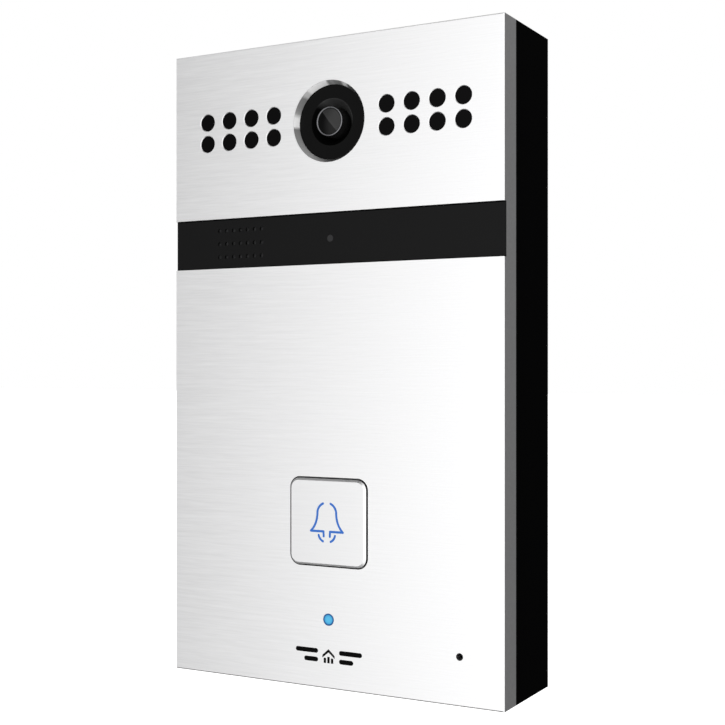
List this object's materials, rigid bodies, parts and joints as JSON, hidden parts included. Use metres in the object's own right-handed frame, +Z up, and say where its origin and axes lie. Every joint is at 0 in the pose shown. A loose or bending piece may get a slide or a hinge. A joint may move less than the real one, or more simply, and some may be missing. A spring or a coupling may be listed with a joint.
{
  "type": "door intercom panel",
  "caption": "Wall-hung door intercom panel with an aluminium front, camera, lamps, speaker strip and square call button on a black housing with a wall bracket.",
  "frame": {"origin": "middle of the wall side: the centre of the bracket's four wall holes, in the plane of the wall", "axes": "+Z up, +Y into the wall, +X to the right of a visitor who faces the unit"},
  "size_m": [0.1044, 0.0325, 0.18],
  "materials": {
    "brushed_aluminium": "horizontal brushing, satin",
    "brushed_aluminium_cap": "horizontal brushing, polished chamfer",
    "housing_black": "fine moulded grain",
    "silicone": "matt silicone",
    "screw_steel": "plain zinc steel",
    "trim_chrome": "polished",
    "hood_black": "smooth black",
    "barrel_black": "matt black",
    "rim_metal": "satin grey",
    "lens_glass": "coated dark glass",
    "day_filter": "cyan filter glass",
    "clear_glass": "clear",
    "coil_copper": "wound copper wire",
    "chip": "black package",
    "circuit_board": "green solder mask on glass fibre",
    "lamp_window": "infra-red passing black acrylic",
    "lamp_glass": "water-clear lamp bodies",
    "strip_black": "smooth black",
    "speaker_cloth": "woven acoustic cloth",
    "foam": "closed-cell foam",
    "basket_steel": "pressed steel",
    "cone_film": "plastic film",
    "magnet": "nickel plated",
    "sensor_pipe": "smoked light pipe",
    "bell_light": "blue lit diffuser, emissive",
    "carrier_plastic": "moulded acetal",
    "plate_steel": "stainless steel sheet",
    "lamp_chip": "surface-mounted lamp",
    "status_light": "light blue lit pipe, emissive",
    "capsule": "drawn can",
    "shield_tin": "tin plate",
    "relay_case": "blue relay case",
    "capacitor_sleeve": "sleeved can",
    "connector": "ivory connector",
    "ribbon_film": "amber film",
    "port_shell": "plated shell",
    "terminal_green": "green terminal block",
    "spring_steel": "spring wire"
  },
  "bodies": {
    "casing": {"front_panel": "brushed_aluminium", "rear_housing": "housing_black", "main_gasket": "silicone", "casing_screws": "screw_steel", "camera_trim_ring": "trim_chrome", "lens_hood": "hood_black", "lens_barrel": "barrel_black", "lens_rim": "rim_metal", "front_lens": "lens_glass", "rear_lens": "lens_glass", "lens_holder": "barrel_black", "filter_retainer": "barrel_black", "filter_coil": "coil_copper", "image_sensor": "chip", "camera_board": "circuit_board", "lamp_window_left": "lamp_window", "lamp_window_right": "lamp_window", "lamp_board_left": "circuit_board", "lamp_board_right": "circuit_board", "lamps_left": "lamp_glass", "lamps_right": "lamp_glass", "front_strip": "strip_black", "speaker_mesh": "speaker_cloth", "speaker_gasket": "foam", "speaker_frame": "basket_steel", "speaker_cone": "cone_film", "speaker_magnet": "magnet", "light_sensor_pipe": "sensor_pipe", "light_sensor": "chip", "button_seal": "silicone", "button_retainer": "plate_steel", "small_screws": "screw_steel", "tact_switch_body": "chip", "button_lamps": "lamp_chip", "status_light_pipe": "status_light", "status_lamp": "lamp_chip", "microphone": "capsule", "microphone_boot": "silicone", "main_board": "circuit_board", "board_screws": "screw_steel", "processor_shield": "shield_tin", "door_relay": "relay_case", "capacitors": "capacitor_sleeve", "ribbon_connectors": "connector", "camera_ribbon": "ribbon_film", "ethernet_port": "port_shell", "terminal_block": "terminal_green", "wall_bracket": "plate_steel", "lock_screws": "screw_steel", "tamper_spring": "spring_steel", "tamper_switch": "chip"},
    "call_button": {"call_button_cap": "brushed_aluminium_cap", "bell_light_guide": "bell_light", "button_carrier": "carrier_plastic"},
    "switch_stem": {"tact_switch_stem": "carrier_plastic"},
    "filter_slide": {"filter_frame": "barrel_black", "day_filter": "day_filter", "night_filter": "clear_glass"},
    "tamper_pin": {"tamper_plunger": "carrier_plastic"}
  },
  "joints": [
    {"name": "call_button_press", "type": "slide", "parent": "casing", "child": "call_button", "axis": [0, 1, 0], "range_m": [0, 0.0006], "stiffness_N_per_m": 3000, "springref_m": -0.0003},
    {"name": "switch_stem_press", "type": "slide", "parent": "casing", "child": "switch_stem", "axis": [0, 1, 0], "range_m": [0, 0.0006]},
    {"name": "filter_shift", "type": "slide", "parent": "casing", "child": "filter_slide", "axis": [-1, 0, 0], "range_m": [0, 0.0078]},
    {"name": "tamper_release", "type": "slide", "parent": "casing", "child": "tamper_pin", "axis": [0, 1, 0], "range_m": [0, 0.0025], "stiffness_N_per_m": 150, "springref_m": 0.006}
  ],
  "couplings": [
    {"joint": "switch_stem_press", "follows": "call_button_press", "ratio": 1}
  ]
}
